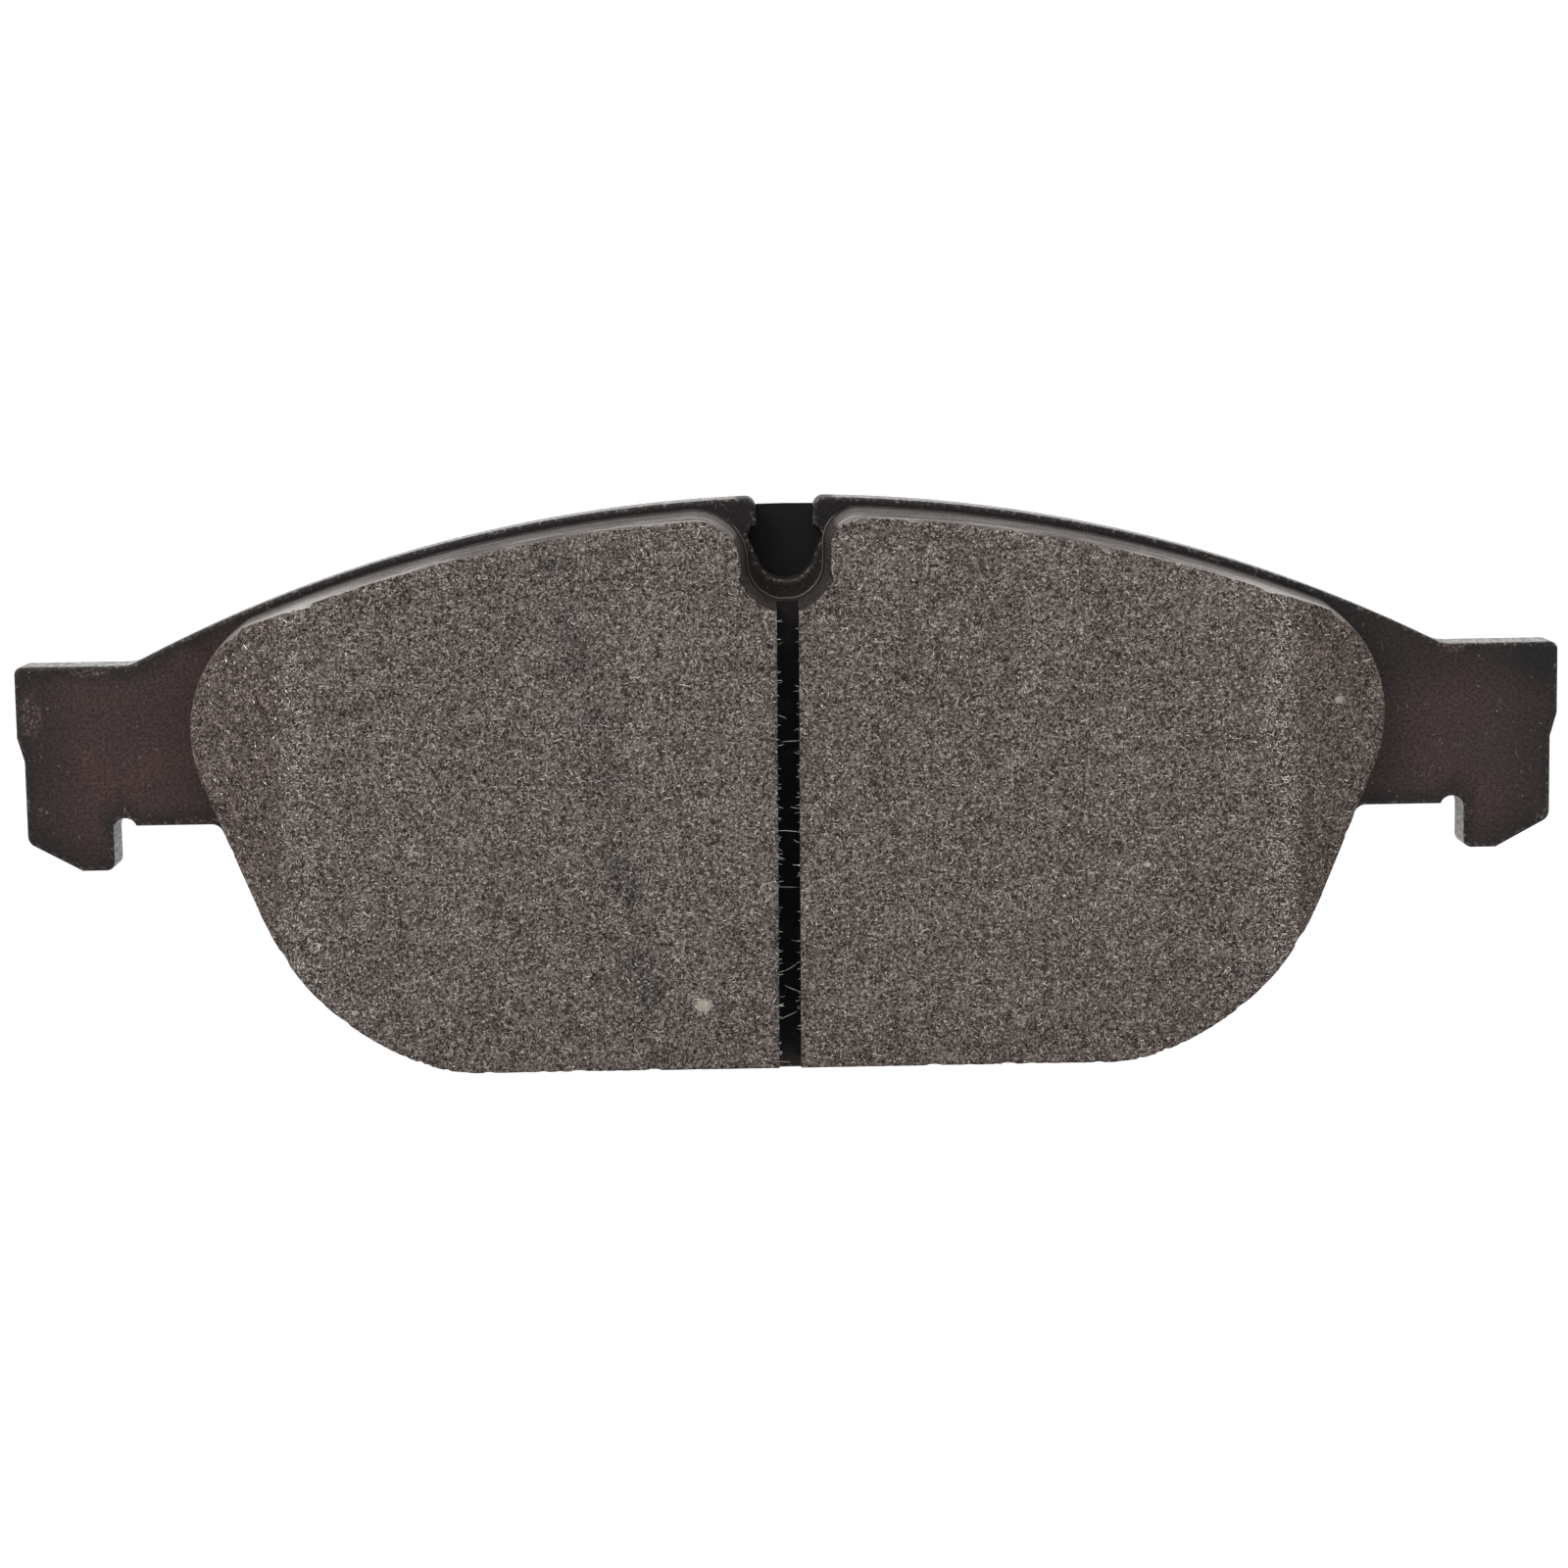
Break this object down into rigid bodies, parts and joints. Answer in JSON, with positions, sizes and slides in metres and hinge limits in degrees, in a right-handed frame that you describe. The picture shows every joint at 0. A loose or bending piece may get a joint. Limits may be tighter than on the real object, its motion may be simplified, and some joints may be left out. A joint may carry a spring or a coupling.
{
  "type": "disc brake pad",
  "caption": "Disc brake pad: steel backing plate with hooked hammerhead ears, slotted and chamfered friction lining, bonded rubber-coated shim.",
  "frame": {"origin": "centre of the bounding box's bottom face, on the back of the shim", "axes": "+X across the pad from ear to ear, +Y towards the rim of the disc, +Z out of the lining towards the disc"},
  "size_m": [0.193, 0.0722, 0.0189],
  "materials": {
    "plate_coating": "satin",
    "lining": "matte",
    "underlayer": "matte",
    "film": "matte",
    "adhesive": "matte",
    "rubber": "matte",
    "core": "satin"
  },
  "bodies": {
    "root": {"backing_plate": "plate_coating", "bond_film": "film", "underlayer": "underlayer", "lining_left": "lining", "lining_right": "lining", "shim_adhesive": "adhesive", "shim_inner_rubber": "rubber", "shim_steel_core": "core", "shim_outer_rubber": "rubber"}
  },
  "joints": []
}
